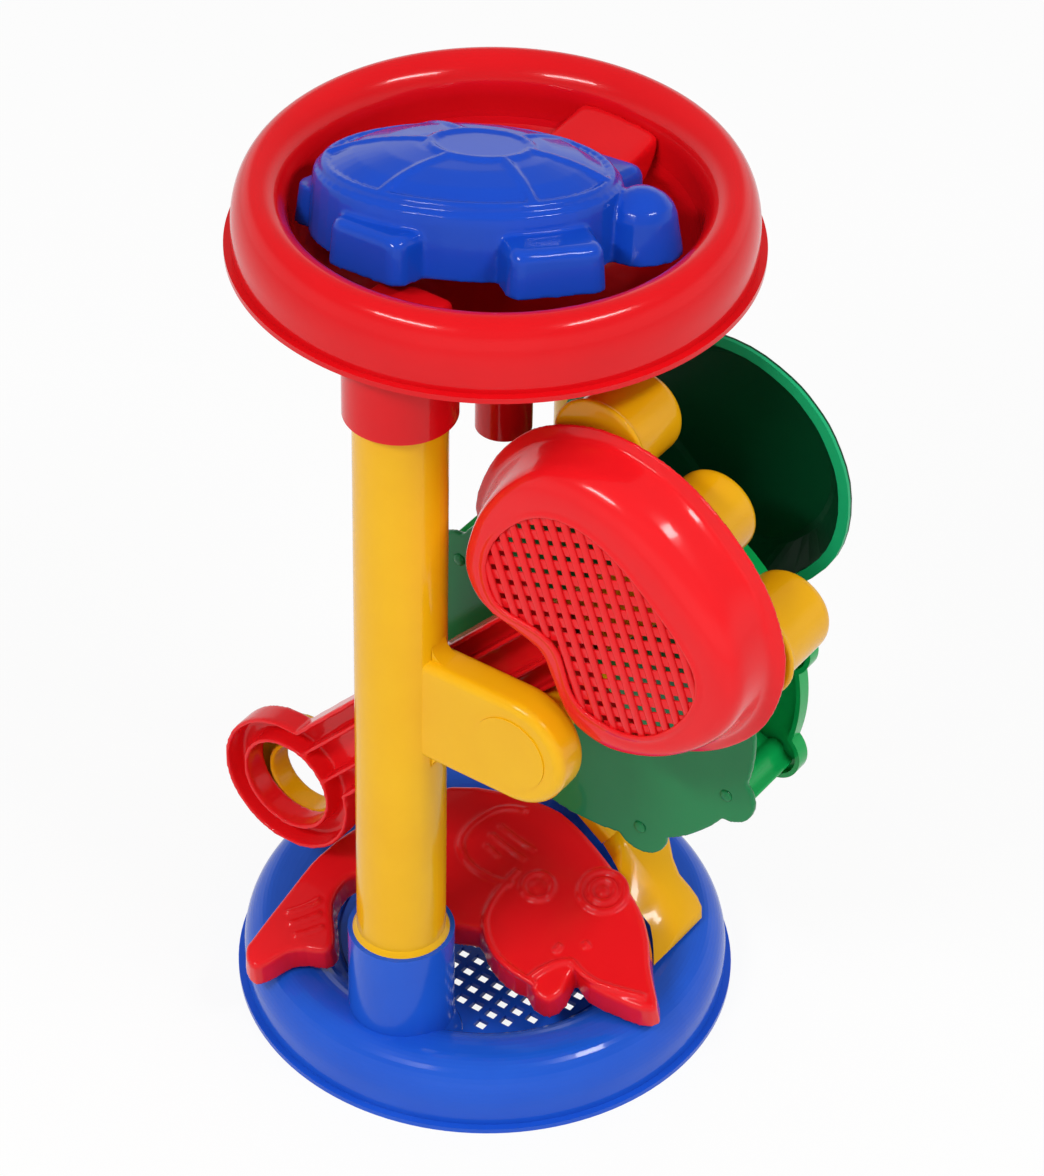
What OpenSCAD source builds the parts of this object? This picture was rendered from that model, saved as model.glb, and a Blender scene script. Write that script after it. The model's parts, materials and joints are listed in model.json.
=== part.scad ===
// Sand wheel toy. Sand poured into the hopper runs down its spout onto a bucket wheel that turns
// between two posts and falls through the sieve in the base. Two moulds, a scoop, a rake, a shovel
// and a spade are stored on the stand. +Z is up, +X is the way the wheel arms reach and the origin
// is under the middle of the base.

/* [Base] */
// Radius of the flange that the base stands on
base_r = 94; // [92:0.5:99]
// Height of the rounded rim of the base
base_h = 26.5; // [25:0.25:27]
// Radius of the highest ring of the rims of base and hopper
crest_r = 80; // [79:0.5:81]
// Wall of the base and hopper mouldings
shell_t = 2.2; // [1.8:0.1:2.6]
// Height of the sieve in the middle of the base
dish_h = 12; // [11:0.25:13]
// Radius of the round sieve
sieve_r = 55; // [52:0.5:56]
// Spacing of the sieve holes of the base
sieve_pitch = 6.85; // [6.6:0.05:8]
// Width of one square sieve hole of the base
sieve_hole = 4.3; // [3.6:0.1:4.7]

/* [Posts] */
// Outer radius of a post
post_r = 16.25; // [15.5:0.25:16.75]
// Distance between the centres of the two posts
post_gap = 120; // [118:0.5:121]
// Place of the posts in front of the middle, towards the arms
post_x = 4.5; // [3:0.25:5.5]
// Wall of a post
post_wall = 2.2; // [1.6:0.1:3]
// Height of the top of the sockets in the base
socket_top = 64; // [60:0.5:66]
// Wall of the sockets in the base and under the hopper
socket_wall = 3.2; // [2.6:0.1:3.6]

/* [Wheel arms] */
// Distance from the middle to the wheel's axle, towards the arms
axle_x = 55.7; // [54.5:0.1:57]
// Height of the wheel's axle
axle_z = 178.5; // [176:0.5:180]
// Height of an arm
arm_h = 43; // [40:0.5:46]
// Thickness of an arm
arm_t = 15; // [13:0.25:15.5]
// Radius of the axle
axle_r = 4; // [3.5:0.1:4.5]
// Radius of the spacers on the axle
spacer_r = 7.8; // [6.6:0.1:7.9]

/* [Wheel] */
// Number of buckets round the wheel
bucket_count = 8; // [6:1:9]
// Radius of the wheel's discs between their lobes
disc_r = 67; // [65.5:0.25:67.5]
// Distance from the axle to the middle of a lobe
lobe_at = 62.4; // [60.5:0.1:62.6]
// Radius of a lobe
lobe_r = 11.4; // [10.6:0.1:11.5]
// Width of the wheel over its discs
wheel_w = 35; // [33:0.25:35.5]
// Thickness of the wheel's discs
disc_t = 2.4; // [2:0.1:2.8]
// Thickness of a paddle between two buckets
paddle_t = 2.2; // [1.8:0.1:2.8]

/* [Hopper] */
// Height of the lower edge of the hopper's rim
hopper_z = 329; // [327:0.5:331]
// Height of the hopper's rim over that edge
hopper_h = 26; // [25.5:0.25:27]
// Radius of the lower edge of the hopper's rim
hopper_r = 91; // [90:0.5:94]
// Radius of the hopper's opening
bowl_r = 71; // [70.5:0.25:72]
// Radius of the spout
spout_r = 10; // [9:0.25:11]
// Height of the lower end of the spout
spout_z = 255; // [253:0.5:262]
// Height of the lower end of the collars that hold the posts
collar_z = 297; // [294:0.5:299]

/* [Sand tools] */
// Angle at which the scoop, rake and shovel lean
tool_lean = 47.5; // [47:0.25:48]
// Width of the handle of the scoop and the shovel
handle_w = 30.6; // [28:0.2:31]
// Width of the handle of the rake
rake_w = 24; // [22:0.2:25]
// Thickness of these handles
handle_t = 10.5; // [9.5:0.1:10.6]
// Outer radius of the ring at the end of the scoop and the shovel
ring_r = 28.4; // [27:0.2:28.6]
// Radius of the finger hole in that ring
ring_hole_r = 18; // [16:0.25:19]
// Wall of the tools and moulds
tool_wall = 1.8; // [1.6:0.1:2]
// Depth of the scoop
scoop_depth = 24.5; // [20:0.25:25]
// Spacing of the sieve holes of the scoop
mesh_pitch = 5.5; // [5.2:0.1:6.5]
// Width of a sieve hole of the scoop
mesh_hole = 3; // [2.4:0.1:3.4]
// Radius of a tine of the rake
tine_r = 15.6; // [14:0.1:15.8]
// Length of a tine of the rake
tine_len = 29.8; // [26:0.2:30]
// Radius of the shovel's blade
blade_r = 51; // [49:0.25:51.5]

/* [Moulds] */
// Length of the turtle mould's shell
shell_len = 103; // [100:0.5:104]
// Height of the turtle mould's side
turtle_side = 22; // [20:0.25:23]
// Height of the shell's dome over that side
turtle_dome = 10; // [8:0.25:12]
// Length of the fish mould
fish_len = 155; // [152:0.5:156]
// Depth of the fish mould
fish_depth = 12; // [10.5:0.25:12.25]
// Slope at which the fish mould leans
fish_tilt = 18; // [17:0.5:19]

/* [Hidden] */
$fn = 72;

// Clearance of parts that slide or stand in each other
fit = 0.1;
// Gap between pieces that only lie on each other
rest_gap = 0.4;
// Overrun of a cut past the face it opens
over = 1;

// Play of the wheel on its axle
run_fit = 0.07;

// Base
flange_t = 2;
flange_w = 2.5;
rim_side = 16;
dish_edge = 1;
dish_lean_share = 0.6;
dish_curve = 2.7;
plate_t = 2;
ledge_w = 4;
sieve_bar = 1;
wall_r = base_r - flange_w;
socket_floor = dish_h + plate_t;
skirt_w = 3;
skirt_h = 10;

// Posts and arms
socket_r = post_r + fit + socket_wall;
post_y = post_gap / 2;
bead_w = 1.5;
bead_h = 2;
shoulder_rise = 9;
shoulder_z = collar_z + shoulder_rise;
neck_r = 9;
neck_len = 28;
arm_edge = 3.5;
arm_fillet = 6;
boss_r = 15;
boss_h = 0.5;
axle_seat = 10;
arm_in_y = post_y - arm_t / 2;

// Hopper
hopper_top = hopper_z + hopper_h;
hopper_wall_r = hopper_r - flange_w;
edge_h = 3;
edge_share = 0.8;
bowl_in = [2.4, 3];
bowl_drop = [17.5, 24];
bowl_wall = [bowl_r - bowl_in[0], hopper_top - bowl_drop[0]];
bowl_corner = [bowl_r - bowl_in[1], hopper_top - bowl_drop[1]];
bowl_bend_w = 13;
bowl_bend_r = bowl_r - bowl_bend_w;
bowl_slope_share = 0.776;
bend_shares = [0.49, 0.61, 0.79];
tip_share = 1.27;
spout_bore_r = spout_r - shell_t;
bump_w = 27;
bump_in = 12.6;
bump_drop = 15;
bump_z = hopper_top - bump_drop;
bump_rise = 2;
bump_edge = 2.5;

// Wheel
hub_r = 9;
hub_bore_r = axle_r + run_fit;
wheel_play = 0.3;
paddle_r = lobe_at + lobe_r * 0.7;
disc_y = wheel_w / 2 - disc_t;
lobe_turn = 21;
lip_h = 3;
lip_t = 1.8;
pin_r = 1.9;
pin_head_r = 2.4;
pin_head_h = 1;
pin_len = 9;
pin_boss_r = 4;

// Turtle
shell_wide_share = 0.76;
shell_draft = 2;
shell_rim_w = 3;
shell_rim_h = 3;
leg_w = 32;
leg_len = 26;
leg_h = 16;
leg_edge = 5;
leg_draft = 1.5;
hind_at = [19.5, 31.5];
hind_turn = 120;
fore_at = [34, 33];
fore_turn = 63;
head_x = 58.4;
head_r = 12.4;
head_h = 22.5;
head_shares = [[1, 0.48], [0.96, 0.62], [0.85, 0.76], [0.64, 0.88], [0.36, 0.97], [0.12, 1]];
tail_x = 49;
tail_r = 8;
tail_h = 14;
turtle_drop = 18;
turtle_at = [-3.6, -11.5, hopper_top - turtle_drop];
turtle_turn = 34.3;
turtle_tilt = 12;
turtle_yaw = -11;

// Fish
fish_draft = 1;
fish_edge = 2;
fish_at = [29, -42.6, base_h + 1.4];
fish_turn = 23.9;

// Tools, drawn in a frame along the handle, across it and out to the front, from the axle
axle_s = axle_x * cos(tool_lean) + axle_z * sin(tool_lean);
axle_n = axle_z * cos(tool_lean) - axle_x * sin(tool_lean);
handle_low = axle_n + spacer_r + rest_gap;
handle_n = handle_low + handle_w / 2;
ring_back = 147;
ring_s = axle_s - ring_back;
rib_t = 1.6;
rib_at = 6.3;
rib_drop = 1;
scoop_off = 23.8;
scoop_s = axle_s + scoop_off;
handle_end_s = scoop_s - rest_gap;
scoop_w = 127;
scoop_edge = 2.5;
scoop_flange = 4;
scoop_flange_t = 2.6;
post_pass = 0.55;
handle_front = post_y - post_r - post_pass;
scoop_handle_z = handle_front - handle_t;
scoop_y = 34.3;
mesh_inset = 6;
mesh_t = 1.6;
mesh_bar_w = 1.4;
mesh_bar_h = 1;
mesh_turn = -26.8;
rake_n = handle_low + rake_w / 2;
rake_ring_back = 151.5;
rake_ring_s = axle_s - rake_ring_back;
rake_ring_r = 23.4;
rake_hole_r = 14;
rake_front = scoop_handle_z - rest_gap;
rake_back = rake_front - handle_t;
rake_neck_off = 28.8;
rake_neck_s = axle_s + rake_neck_off;
rake_neck_len = 16;
rake_plate_t = 2.4;
tine_off = 88.9;
tine_s = axle_s + tine_off;
tine_side = [-37.3, 4.4, 46.2];
tine_n = [for (d = tine_side) handle_n + d];
tine_round = 4;
blade_off = 69.4;
blade_s = axle_s + blade_off;
blade_side = 12.6;
blade_n = handle_n + blade_side;
blade_y = 28;
blade_depth = 14;
blade_rim = 2.2;
shovel_ring_back = 117.2;
shovel_ring_s = axle_s - shovel_ring_back;
shovel_handle_y = 29.5;
shovel_handle_t = 8.7;

// Spade, drawn from its tip up its slope; each row of its shape gives the way from the tip, then
// across it the left foot, the crease, the right edge and the right foot, and last two heights
spade_at = [70.2, 8.4, base_h + rest_gap];
spade_slope = 37;
spade_wall = 1.6;
spade_round = 1;
spade_rows = [
    [0, 1, 14, 31, 33.5, 1.9, 0], [3, 4.5, 18, 34, 36.8, 2.5, 0], [7, 8.5, 21.5, 35, 37.9, 3.2, 0],
    [11.5, 12, 23.5, 35, 37.9, 3.8, 0], [18, 12.4, 24, 34.5, 37.6, 4.4, 0],
    [24, 13.5, 24.2, 37, 41, 4.6, 0], [32, 16.5, 24.6, 43, 47.5, 4.6, 0],
    [40, 18.8, 25, 39, 43, 4.6, 0], [46, 20, 25, 33, 36, 4.6, 0]
];
spade_grip = [14, 8, 112];

module lay_tool() {
    rotate([0, -tool_lean, 0]) rotate([90, 0, 0]) children();
}

// Points of an elliptic arc
function arc(c, a, b, from, to, n) =
    [for (i = [0:n]) let (t = from + (to - from) * i / n) [c[0] + a * cos(t), c[1] + b * sin(t)]];

function flip(pts) = [for (i = [len(pts) - 1:-1:0]) pts[i]];

// Closed smooth curve through corner points, k points to a span
function smooth(p, k) = let (m = len(p)) [
    for (i = [0:m - 1], j = [0:k - 1])
        let (t = j / k, a = p[(i + m - 1) % m], b = p[i], c = p[(i + 1) % m], d = p[(i + 2) % m])
        (2 * b + (c - a) * t + (2 * a - 5 * b + 4 * c - d) * t * t + (3 * b - a - 3 * c + d) * t * t * t) / 2
];

// The outline moved outwards by d
function grow(p, d) = let (m = len(p)) [
    for (i = [0:m - 1])
        let (e = p[(i + 1) % m] - p[(i + m - 1) % m]) p[i] + d * [e[1], -e[0]] / norm(e)
];

function lift(p, z) = [for (q = p) [q[0], q[1], z]];

// Solid through a stack of rings with the same number of points
module skin(rings) {
    n = len(rings[0]);
    m = len(rings);
    polyhedron(
        points = [for (r = rings) each r],
        faces = concat(
            [[for (i = [0:n - 1]) i]],
            [for (k = [0:m - 2], i = [0:n - 1]) [k * n + i, (k + 1) * n + i, (k + 1) * n + (i + 1) % n]],
            [for (k = [0:m - 2], i = [0:n - 1]) [k * n + i, (k + 1) * n + (i + 1) % n, k * n + (i + 1) % n]],
            [[for (i = [n - 1:-1:0]) (m - 1) * n + i]]
        )
    );
}

// Line of the base from the crest of its rim down to the sieve, moved down by t
function dish_line(t) = [
    for (i = [0:10])
        let (g = i / 10, run = crest_r - sieve_r - dish_edge - t * dish_lean_share)
        [crest_r - g * run, base_h - t - (base_h - dish_h) * pow(g, dish_curve)]
];

module base_tray() {
    color("royalblue") difference() {
        union() {
            rotate_extrude($fn = 144) polygon(concat(
                [[base_r, 0], [base_r, flange_t], [wall_r, flange_t]],
                arc([crest_r, base_h - rim_side], wall_r - crest_r, rim_side, 0, 90, 12),
                dish_line(0),
                [[sieve_r + dish_edge, dish_h - plate_t]],
                [[sieve_r - ledge_w, dish_h - plate_t], [sieve_r - ledge_w, dish_h - plate_t - shell_t]],
                flip(dish_line(shell_t)),
                flip(arc([crest_r, base_h - rim_side], wall_r - crest_r - shell_t, rim_side - shell_t, 0, 90, 12)),
                [[wall_r - shell_t, 0]]
            ));
            for (side = [-1, 1]) translate([post_x, side * post_y, 0]) {
                translate([0, 0, dish_h - plate_t - shell_t])
                    cylinder(r = socket_r, h = socket_top - dish_h + plate_t + shell_t);
                translate([0, 0, dish_h]) cylinder(r1 = socket_r + skirt_w, r2 = socket_r, h = skirt_h);
                translate([0, 0, dish_h - plate_t - shell_t])
                    cylinder(r = socket_r + skirt_w, h = plate_t + shell_t);
            }
        }
        for (side = [-1, 1]) translate([post_x, side * post_y, socket_floor])
            cylinder(r = post_r + fit, h = socket_top - socket_floor + over);
    }
}

module base_sieve() {
    reach = floor(sieve_r / sieve_pitch);
    notch_r = socket_r + skirt_w + fit;
    clear = sieve_hole * 0.75 + sieve_bar;
    color("mediumblue") translate([0, 0, dish_h - plate_t]) linear_extrude(plate_t) difference() {
        circle(r = sieve_r, $fn = 144);
        for (side = [-1, 1]) translate([post_x, side * post_y]) circle(r = notch_r);
        for (i = [-reach:reach], j = [-reach:reach]) {
            x = i * sieve_pitch;
            y = j * sieve_pitch;
            if (norm([x, y]) < sieve_r - clear && norm([x - post_x, abs(y) - post_y]) > notch_r + clear)
                translate([x, y]) square(sieve_hole, center = true);
        }
    }
}

// A flat disc with round edges, centred, with its axis along Z
module round_disc(r, h, edge) {
    rotate_extrude() {
        translate([0, -h / 2]) square([r - edge, h]);
        translate([0, edge - h / 2]) square([r, h - 2 * edge]);
        for (side = [-1, 1]) translate([r - edge, side * (h / 2 - edge)]) circle(r = edge, $fn = 32);
    }
}

// A bar's section with round corners
module round_section(w, h, edge) {
    square([w - 2 * edge, h], center = true);
    square([w, h - 2 * edge], center = true);
    for (a = [-1, 1], b = [-1, 1])
        translate([a * (w / 2 - edge), b * (h / 2 - edge)]) circle(r = edge, $fn = 32);
}

// The front post with its arm
module post() {
    difference() {
        union() {
            translate([post_x, -post_y, 0]) {
                translate([0, 0, socket_floor]) cylinder(r = post_r, h = shoulder_z - socket_floor);
                translate([0, 0, shoulder_z]) cylinder(r = neck_r, h = neck_len);
                translate([0, 0, socket_top]) cylinder(r1 = post_r + bead_w, r2 = post_r, h = bead_h);
            }
            translate([post_x, -post_y, axle_z]) rotate([90, 0, 90])
                linear_extrude(axle_x - post_x) round_section(arm_t, arm_h, arm_edge);
            translate([axle_x, -post_y, axle_z]) rotate([90, 0, 0]) {
                round_disc(arm_h / 2, arm_t, arm_edge);
                cylinder(r1 = boss_r, r2 = boss_r - boss_h, h = arm_t / 2 + boss_h);
            }
            for (side = [-1, 1])
                translate([post_x + post_r - fit, -post_y, axle_z + side * (arm_h / 2 - fit)])
                    scale([1, 1, side]) rotate([90, 0, 0])
                        linear_extrude(arm_t - 2 * arm_edge, center = true) difference() {
                            square(arm_fillet);
                            translate([arm_fillet, arm_fillet]) circle(r = arm_fillet);
                        }
        }
        translate([post_x, -post_y, socket_floor - over])
            cylinder(r = post_r - post_wall, h = shoulder_z - post_wall - socket_floor + over);
        translate([axle_x, -arm_in_y + over, axle_z]) rotate([90, 0, 0])
            cylinder(r = axle_r + fit, h = axle_seat + over);
    }
}

module front_post() {
    color("gold") post();
}

module back_post() {
    color("gold") mirror([0, 1, 0]) post();
}

// Height of the bowl's slope at radius r
function slope_z(r) = bowl_corner[1] - bowl_slope_share * (bowl_corner[0] - r);

function bend(p, c, q, n) =
    [for (i = [0:n]) let (t = i / n) (1 - t) * (1 - t) * p + 2 * t * (1 - t) * c + t * t * q];

// Lines of the rim from its crest down to the bowl and of the bowl on to its slope, moved out by t
function rim_line(t) = concat(
    arc([crest_r, hopper_top - edge_h], crest_r - bowl_r - t, edge_h - t * edge_share, 90, 180, 6),
    [bowl_wall + [t, 0]]
);

function bowl_line(t) =
    bend(bowl_wall + [t, 0], bowl_corner + [t, -t * bend_shares[0]],
         [bowl_bend_r, slope_z(bowl_bend_r)] + t * [bend_shares[1], -bend_shares[2]], 6);

// The room over the bowl, with its wall moved out by t
module bowl_room(t) {
    rotate_extrude($fn = 144) polygon(concat(
        [[0, hopper_top + over], [crest_r - over, hopper_top + over]],
        rim_line(t),
        bowl_line(t),
        [[0, slope_z(0) - t * tip_share]]
    ));
}

// The hopper is one moulding, drawn as its rim, bowl, spout, collars and the caps over the posts
module hopper_rim() {
    color("crimson") rotate_extrude($fn = 144) polygon(concat(
        [[hopper_r, hopper_z], [hopper_r, hopper_z + flange_t], [hopper_wall_r, hopper_z + flange_t]],
        arc([crest_r, hopper_top - rim_side], hopper_wall_r - crest_r, rim_side, 0, 90, 12),
        rim_line(0),
        flip(rim_line(shell_t)),
        flip(arc([crest_r, hopper_top - rim_side],
                 hopper_wall_r - crest_r - shell_t, rim_side - shell_t, 0, 90, 12)),
        [[hopper_wall_r - shell_t, hopper_z]]
    ));
}

module neck_bores() {
    for (side = [-1, 1]) translate([post_x, side * post_y, collar_z - over])
        cylinder(r = neck_r + fit, h = shoulder_z - collar_z + over + neck_len + rest_gap);
}

module hopper_bowl() {
    color("crimson") difference() {
        rotate_extrude($fn = 144) polygon(concat(
            bowl_line(0), [[0, slope_z(0)], [0, slope_z(0) - shell_t * tip_share]], flip(bowl_line(shell_t))
        ));
        neck_bores();
        translate([post_x, 0, spout_z]) cylinder(r = spout_r + fit, h = hopper_z - spout_z);
    }
}

module hopper_spout() {
    color("crimson") difference() {
        translate([post_x, 0, spout_z]) cylinder(r = spout_r, h = hopper_z - spout_z);
        bowl_room(0);
        translate([post_x, 0, spout_z - over]) cylinder(r = spout_bore_r, h = hopper_z - spout_z);
    }
}

module hopper_collars() {
    color("crimson") difference() {
        for (side = [-1, 1]) translate([post_x, side * post_y, collar_z])
            cylinder(r = socket_r, h = bowl_corner[1] - collar_z);
        bowl_room(shell_t + 2 * fit);
        neck_bores();
        for (side = [-1, 1]) translate([post_x, side * post_y, collar_z - over])
            cylinder(r = post_r + fit, h = shoulder_z - collar_z + over + fit);
    }
}

module hopper_caps() {
    color("crimson") difference() {
        intersection() {
            for (side = [-1, 1]) translate([post_x, side * post_y, 0]) bump(side);
            bowl_room(-2 * fit);
        }
        neck_bores();
    }
}

module axle() {
    color("gainsboro") translate([axle_x, 0, axle_z]) rotate([90, 0, 0])
        cylinder(r = axle_r, h = 2 * (arm_in_y + axle_seat - fit), center = true);
}

module spacer(side) {
    gap = wheel_w / 2 + wheel_play;
    color("gold") translate([axle_x, side * gap, axle_z]) rotate([-side * 90, 0, 0]) difference() {
        cylinder(r = spacer_r, h = arm_in_y - gap);
        translate([0, 0, -over]) cylinder(r = axle_r + fit, h = arm_in_y - gap + 2 * over);
    }
}

module front_spacer() {
    spacer(-1);
}

module back_spacer() {
    spacer(1);
}

// The wheel is drawn lying flat, its front disc on top
module stand_wheel() {
    translate([axle_x, 0, axle_z]) rotate([90, 0, 0]) children();
}

module each_bucket() {
    for (i = [0:bucket_count - 1]) rotate(lobe_turn + i * 360 / bucket_count) children();
}

module disc_outline(inset = 0) {
    circle(r = disc_r - inset, $fn = 144);
    each_bucket() translate([lobe_at, 0]) circle(r = lobe_r - inset);
}

module wheel_core() {
    color("darkgreen") stand_wheel() difference() {
        union() {
            cylinder(r = hub_r, h = wheel_w, center = true);
            each_bucket() {
                translate([hub_r - over, -paddle_t / 2, -disc_y])
                    cube([paddle_r - hub_r + over, paddle_t, 2 * disc_y]);
                translate([lobe_at, 0, -disc_y]) cylinder(r = pin_boss_r, h = 2 * disc_y);
            }
        }
        cylinder(r = hub_bore_r, h = wheel_w + 2 * over, center = true);
        each_bucket() translate([lobe_at, 0, wheel_w / 2 - pin_len])
            cylinder(r = pin_r + fit, h = pin_len);
    }
}

module wheel_front_disc() {
    color("seagreen") stand_wheel() translate([0, 0, disc_y]) linear_extrude(disc_t) difference() {
        disc_outline();
        circle(r = hub_r + fit);
        each_bucket() translate([lobe_at, 0]) circle(r = pin_r + fit);
    }
}

module wheel_back_disc() {
    color("green") stand_wheel() translate([0, 0, -wheel_w / 2]) {
        linear_extrude(disc_t) difference() {
            disc_outline();
            circle(r = hub_r + fit);
        }
        linear_extrude(disc_t + lip_h) difference() {
            disc_outline();
            disc_outline(lip_t);
        }
    }
}

module wheel_pins() {
    color("seagreen") stand_wheel() each_bucket() translate([lobe_at, 0, wheel_w / 2]) {
        translate([0, 0, -pin_len + fit]) cylinder(r = pin_r, h = pin_len);
        rotate_extrude($fn = 32) polygon(concat([[0, 0]], arc([0, 0], pin_head_r, pin_head_h, 0, 90, 5)));
    }
}

// Turtle mould, drawn flat with its tail at -X and its open side down
function oval(a, b, z, n = 48) = [for (i = [0:n - 1]) let (t = 360 * i / n) [a * cos(t), b * sin(t), z]];

// A rounded rectangle as one ring of points
function soft_box(w, l, r, z) = [
    for (q = [0:3], i = [0:3])
        let (t = 90 * q + 30 * i, sx = (q == 0 || q == 3) ? 1 : -1, sy = q < 2 ? 1 : -1)
        [sx * (w / 2 - r) + r * cos(t), sy * (l / 2 - r) + r * sin(t), z]
];

module turtle_leg(inset) {
    l = leg_len - 2 * inset;
    w = leg_w - 2 * inset;
    h = leg_h - inset;
    skin([
        soft_box(l + leg_draft, w + leg_draft, leg_edge, 0),
        soft_box(l, w, leg_edge, h - leg_edge * 0.6),
        soft_box(l - leg_edge * 0.4, w - leg_edge * 0.4, leg_edge * 0.9, h - leg_edge * 0.2),
        soft_box(l - leg_edge * 1.2, w - leg_edge * 1.2, leg_edge * 0.6, h)
    ]);
}

module turtle_form(inset) {
    a = shell_len / 2 - inset;
    b = shell_len * shell_wide_share / 2 - inset;
    z = turtle_side - inset;
    skin([
        oval(a + shell_draft, b + shell_draft, 0),
        oval(a + shell_draft * 0.3, b + shell_draft * 0.3, z - shell_rim_h),
        oval(a, b, z),
        oval(a - shell_rim_w, b - shell_rim_w, z + shell_rim_h * 0.4),
        oval(a * 0.75, b * 0.75, z + turtle_dome * 0.62),
        oval(a * 0.55, b * 0.55, z + turtle_dome * 0.88),
        oval(a * 0.36, b * 0.3, z + turtle_dome)
    ]);
    for (side = [-1, 1]) {
        translate([-hind_at[0], side * hind_at[1], 0]) rotate(side * hind_turn) turtle_leg(inset);
        translate([fore_at[0], side * fore_at[1], 0]) rotate(side * fore_turn) turtle_leg(inset);
    }
    translate([head_x, 0, 0]) skin(concat(
        [oval(head_r + shell_draft - inset, head_r + shell_draft - inset, 0, 36)],
        [for (q = head_shares) let (r = (head_r - inset) * q[0])
            oval(r, r, (head_h - inset) * q[1], 36)]
    ));
    translate([-tail_x, 0, 0]) skin([
        oval(tail_r + shell_draft - inset, tail_r - inset, 0, 24),
        oval(tail_r - inset, tail_r - inset, tail_h - inset, 24)
    ]);
}

module turtle_mould() {
    color("blue") translate(turtle_at) rotate([0, 0, turtle_turn]) rotate([-turtle_tilt, 0, 0])
        rotate(turtle_yaw) difference() {
            turtle_form(0);
            translate([0, 0, -fit]) turtle_form(tool_wall);
        }
}

// Fish mould, drawn with its tail at -X, its back at +Y and its open side down
fish_shares = [
    [-0.573, 0.003], [-0.565, -0.030], [-0.540, -0.052], [-0.505, -0.030], [-0.470, 0.003],
    [-0.430, 0.017], [-0.385, 0.017], [-0.366, 0.040], [-0.378, 0.095], [-0.394, 0.155],
    [-0.378, 0.215], [-0.330, 0.240], [-0.250, 0.205], [-0.170, 0.150], [-0.100, 0.134],
    [-0.030, 0.134], [-0.003, 0.095], [0.029, 0.058], [0.076, 0.027], [0.108, 0.020],
    [0.130, -0.010], [0.166, -0.023], [0.196, 0.010], [0.212, 0.072], [0.255, 0.030],
    [0.320, 0.008], [0.385, -0.008], [0.422, 0.003], [0.405, 0.060], [0.385, 0.117],
    [0.372, 0.177], [0.350, 0.235], [0.318, 0.285], [0.275, 0.334], [0.223, 0.389],
    [0.173, 0.437], [0.123, 0.477], [0.069, 0.504], [-0.050, 0.527], [-0.177, 0.520],
    [-0.290, 0.450], [-0.400, 0.351], [-0.439, 0.301], [-0.470, 0.252], [-0.503, 0.174],
    [-0.539, 0.089], [-0.566, 0.022]
];

fish_line = smooth(fish_len * fish_shares, 2);

function fish_ring(d, z) = lift(grow(fish_line, d), z);

module fish_mould() {
    color("red") translate(fish_at) rotate([0, 0, fish_turn]) rotate([fish_tilt, 0, 0]) difference() {
        skin([
            fish_ring(fish_draft, 0), fish_ring(0, fish_depth - fish_edge),
            fish_ring(-fish_edge * 0.3, fish_depth - fish_edge * 0.3), fish_ring(-fish_edge, fish_depth)
        ]);
        skin([
            fish_ring(fish_draft - tool_wall, -over), fish_ring(-tool_wall, fish_depth - tool_wall)
        ]);
    }
}

// Scoop, drawn along the handle: X to the far end, Y across it, Z to the front
scoop_rim_shares = [
    [-0.03, 0], [-0.045, 0.14], [-0.04, 0.28], [0.013, 0.4], [0.16, 0.475], [0.3, 0.5],
    [0.43, 0.487], [0.56, 0.425], [0.66, 0.33], [0.735, 0.175], [0.756, 0]
];
scoop_floor_shares = [
    [0.063, 0], [0.03, 0.1], [-0.008, 0.205], [0.02, 0.3], [0.095, 0.355], [0.205, 0.405],
    [0.335, 0.43], [0.47, 0.42], [0.6, 0.34], [0.68, 0.19], [0.7, 0]
];

function mirrored(p) = concat([for (q = p) [q[0], -q[1]]], flip([for (i = [1:len(p) - 2]) p[i]]));

function scoop_ring(shares, d, z) =
    lift([for (q = grow(smooth(scoop_w * mirrored(shares), 3), d)) [scoop_s + q[0], handle_n + q[1]]], z);

// The scoop stands on its floor, its rim on top
module scoop_place() {
    lay_tool() translate([0, 0, scoop_y + scoop_depth]) mirror([0, 0, 1]) children();
}

module scoop_solid(d) {
    skin([
        scoop_ring(scoop_floor_shares, d - scoop_edge, 0),
        scoop_ring(scoop_floor_shares, d - scoop_edge * 0.3, scoop_edge * 0.3),
        scoop_ring(scoop_floor_shares, d, scoop_edge),
        scoop_ring(scoop_rim_shares, d - scoop_flange, scoop_depth - scoop_flange_t),
        scoop_ring(scoop_rim_shares, d, scoop_depth - scoop_flange_t),
        scoop_ring(scoop_rim_shares, d, scoop_depth)
    ]);
}

module scoop_basket() {
    color("red") scoop_place() difference() {
        scoop_solid(0);
        skin([
            scoop_ring(scoop_floor_shares, -scoop_edge - tool_wall, tool_wall),
            scoop_ring(scoop_floor_shares, -tool_wall, scoop_edge),
            scoop_ring(scoop_rim_shares, -scoop_flange - tool_wall, scoop_depth - scoop_flange_t),
            scoop_ring(scoop_rim_shares, -scoop_flange - tool_wall, scoop_depth + over)
        ]);
        skin([
            scoop_ring(scoop_floor_shares, -mesh_inset, -over),
            scoop_ring(scoop_floor_shares, -mesh_inset, tool_wall + over)
        ]);
    }
}

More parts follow.
